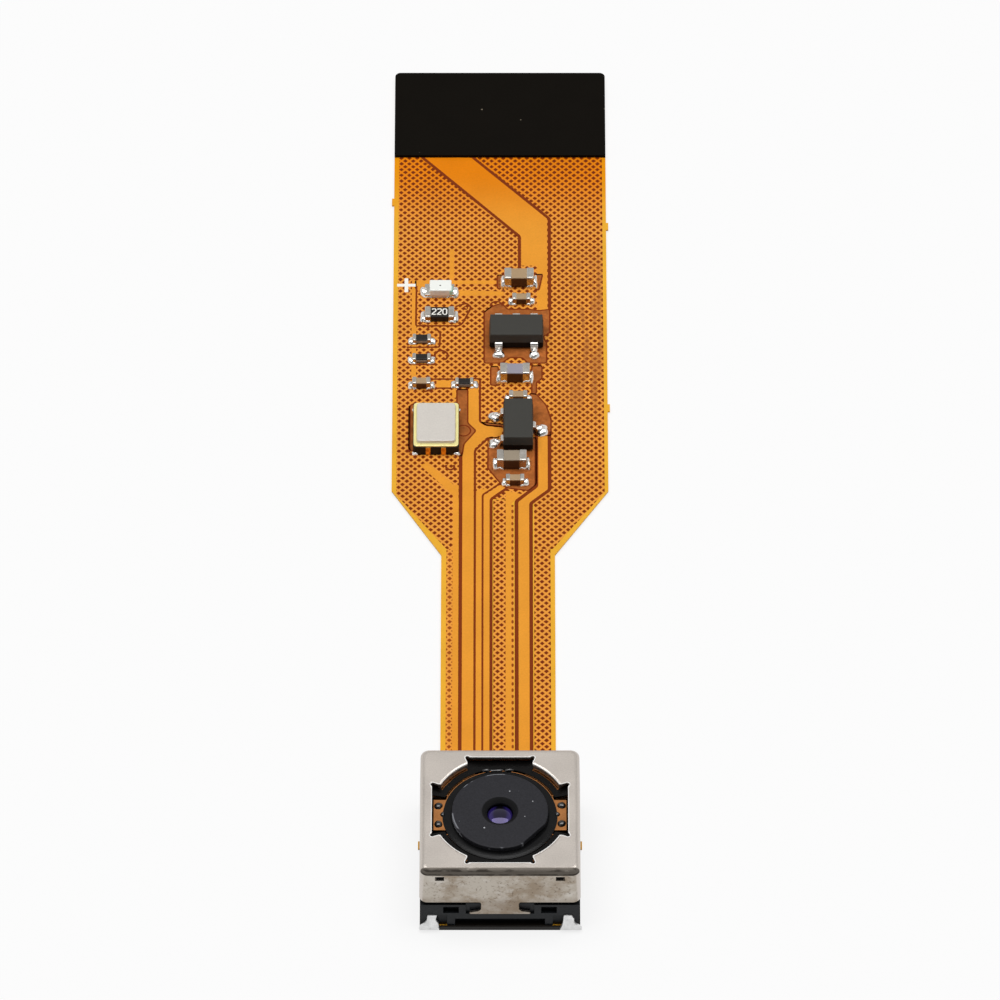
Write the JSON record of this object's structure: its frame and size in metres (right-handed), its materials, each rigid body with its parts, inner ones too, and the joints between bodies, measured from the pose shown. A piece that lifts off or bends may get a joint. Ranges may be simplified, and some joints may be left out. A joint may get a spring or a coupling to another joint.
{
  "type": "flexible circuit camera module",
  "caption": "Autofocus camera in a square metal can on a narrow flexible circuit that widens to a head with surface-mount parts and a stiffened plug-in tail.",
  "frame": {"origin": "on the lens axis at the camera's back face", "axes": "+X to the right, +Y along the flexible circuit towards its plug-in tail, +Z out of the lens"},
  "size_m": [0.0118, 0.0601, 0.0047],
  "materials": {
    "polyimide": "clear amber polyimide film",
    "black_film": "matte black",
    "steel_plate": "thin plain plate",
    "gold": "gold plated",
    "covered_copper": "copper under amber film",
    "solder": "bright tin solder",
    "white_print": "matte white print",
    "led_board": "matte cream laminate",
    "led_resin": "milky clear resin",
    "tinned_ends": "tin plated",
    "resistor_black": "black glaze",
    "capacitor_tan": "fired tan ceramic",
    "moulded_black": "matte moulding compound",
    "tinned_leads": "tin plated",
    "ceramic_dark": "dark fired ceramic",
    "lid_metal": "satin metal lid",
    "board_green": "laminate",
    "silicon": "polished silicon",
    "filter_glass": "coated glass",
    "base_black": "matte black polymer",
    "can_metal": "satin nickel silver, heat tinted",
    "magnet": "nickel plated",
    "copper_wire": "enamelled copper wire",
    "carrier_black": "black polymer",
    "barrel_black": "matte black",
    "lens_resin": "coated optical resin",
    "spring_bronze": "thin copper alloy sheet",
    "glue": "glossy black glue"
  },
  "bodies": {
    "module": {"flex_film": "polyimide", "tail_stiffener": "black_film", "back_plate": "steel_plate", "tail_contacts": "gold", "ground_mesh": "covered_copper", "supply_track": "covered_copper", "signal_tracks": "covered_copper", "solder_pads": "solder", "solder_joints": "solder", "cross_mark": "white_print", "led_base": "led_board", "led_lens": "led_resin", "led_ends": "tinned_ends", "resistor_1": "resistor_black", "resistor_1_ends": "tinned_ends", "resistor_2": "resistor_black", "resistor_2_ends": "tinned_ends", "resistor_3": "resistor_black", "resistor_3_ends": "tinned_ends", "resistor_4": "resistor_black", "resistor_4_ends": "tinned_ends", "capacitor_1": "capacitor_tan", "capacitor_1_ends": "tinned_ends", "capacitor_2": "capacitor_tan", "capacitor_2_ends": "tinned_ends", "capacitor_3": "capacitor_tan", "capacitor_3_ends": "tinned_ends", "capacitor_4": "capacitor_tan", "capacitor_4_ends": "tinned_ends", "capacitor_5": "capacitor_tan", "capacitor_5_ends": "tinned_ends", "capacitor_6": "capacitor_tan", "capacitor_6_ends": "tinned_ends", "capacitor_7": "capacitor_tan", "capacitor_7_ends": "tinned_ends", "regulator_1": "moulded_black", "regulator_1_leads": "tinned_leads", "regulator_2": "moulded_black", "regulator_2_leads": "tinned_leads", "oscillator_base": "ceramic_dark", "oscillator_ring": "gold", "oscillator_lid": "lid_metal", "sensor_board": "board_green", "image_sensor": "silicon", "infrared_filter": "filter_glass", "camera_base": "base_black", "actuator_terminals": "tinned_leads", "shield_can": "can_metal", "magnets": "magnet", "spring_spacer": "base_black", "upper_spring": "spring_bronze", "lower_spring": "spring_bronze"},
    "lens_carrier": {"lens_carrier": "carrier_black", "coil": "copper_wire", "lens_barrel": "barrel_black", "front_lens": "lens_resin", "middle_lens": "lens_resin", "rear_lens": "lens_resin", "lens_stops": "barrel_black", "glue_dots": "glue"}
  },
  "joints": [
    {"name": "focus_slide", "type": "slide", "parent": "module", "child": "lens_carrier", "axis": [0, 0, 1], "range_m": [0, 0.00025], "stiffness_N_per_m": 30, "deforming": ["upper_spring", "lower_spring"]}
  ]
}
